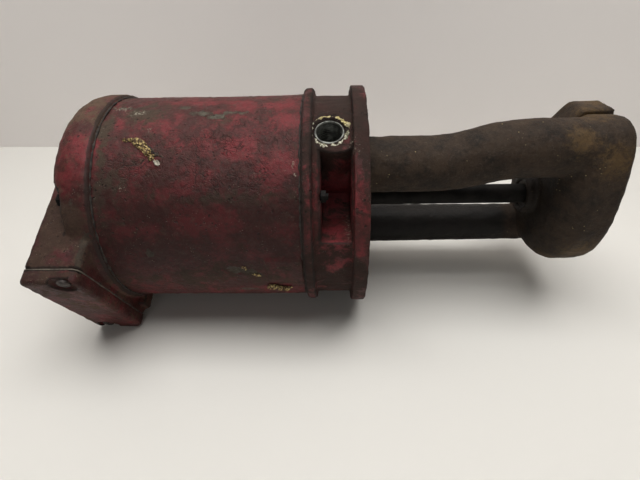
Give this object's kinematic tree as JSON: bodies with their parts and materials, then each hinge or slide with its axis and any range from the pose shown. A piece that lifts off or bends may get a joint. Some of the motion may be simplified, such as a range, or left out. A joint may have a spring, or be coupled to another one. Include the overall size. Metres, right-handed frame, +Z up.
{
  "type": "vertical coolant pump",
  "caption": "Flange-mounted immersion coolant pump: round motor with side conduit box above, shaft, swept discharge pipe, strut and rounded impeller casing below.",
  "frame": {"origin": "centre of the mounting flange's underside, on the shaft's axis", "axes": "+Z up the shaft towards the motor, -Y out of the tapped outlet, -X out of the conduit box"},
  "size_m": [0.1881, 0.1768, 0.4151],
  "materials": {
    "bracket_iron": "rusty casting, worn dark red paint above the flange's underside",
    "bronze": "cast bronze, dull",
    "cover_iron": "rusty casting",
    "gasket_fibre": "compressed fibre",
    "screw_steel": "oxidised steel",
    "shaft_steel": "oily ground steel",
    "rubber_black": "matt",
    "bearing_steel": "ground and polished",
    "brass_cage": "pressed brass",
    "lamination_steel": "stacked laminations",
    "rotor_aluminium": "die cast",
    "copper_winding": "varnished copper",
    "red_paint_shell": "old dark red paint under grime",
    "red_paint_bell": "old dark red paint under grime",
    "red_paint_lid": "old dark red paint under grime",
    "black_phenolic": "moulded phenolic"
  },
  "bodies": {
    "pump_frame": {"pump_bracket": "bracket_iron", "throat_bush": "bronze", "suction_cover": "cover_iron", "suction_cover_gasket": "gasket_fibre", "suction_cover_screws": "screw_steel", "lower_bearing_outer_race": "bearing_steel", "upper_bearing_outer_race": "bearing_steel", "wave_washer": "bearing_steel", "stator_core": "lamination_steel", "stator_winding": "copper_winding", "motor_shell": "red_paint_shell", "end_bell": "red_paint_bell", "box_cover_gasket": "gasket_fibre", "box_cover": "red_paint_lid", "box_cover_screws": "screw_steel", "through_bolts": "screw_steel", "through_bolt_nuts": "screw_steel", "lead_grommet": "rubber_black", "terminal_block": "black_phenolic", "terminal_screws": "brass_cage"},
    "rotor": {"pump_shaft": "shaft_steel", "rotor_core": "lamination_steel", "rotor_end_rings": "rotor_aluminium", "lower_bearing_inner_race": "bearing_steel", "upper_bearing_inner_race": "bearing_steel", "slinger": "rubber_black", "impeller": "bronze", "impeller_key": "shaft_steel", "impeller_nut": "screw_steel"},
    "lower_ball_set": {"lower_bearing_balls": "bearing_steel", "lower_bearing_cage": "brass_cage"},
    "upper_ball_set": {"upper_bearing_balls": "bearing_steel", "upper_bearing_cage": "brass_cage"}
  },
  "joints": [
    {"name": "rotor_spin", "type": "hinge", "parent": "pump_frame", "child": "rotor", "pos_m": [0, 0, 0], "axis": [0, 0, 1], "continuous": true},
    {"name": "lower_balls_roll", "type": "hinge", "parent": "pump_frame", "child": "lower_ball_set", "pos_m": [0, 0, 0.036], "axis": [0, 0, 1], "continuous": true},
    {"name": "upper_balls_roll", "type": "hinge", "parent": "pump_frame", "child": "upper_ball_set", "pos_m": [0, 0, 0.203], "axis": [0, 0, 1], "continuous": true}
  ],
  "couplings": [
    {"joint": "lower_balls_roll", "follows": "rotor_spin", "ratio": 0.3842},
    {"joint": "upper_balls_roll", "follows": "rotor_spin", "ratio": 0.3842}
  ]
}
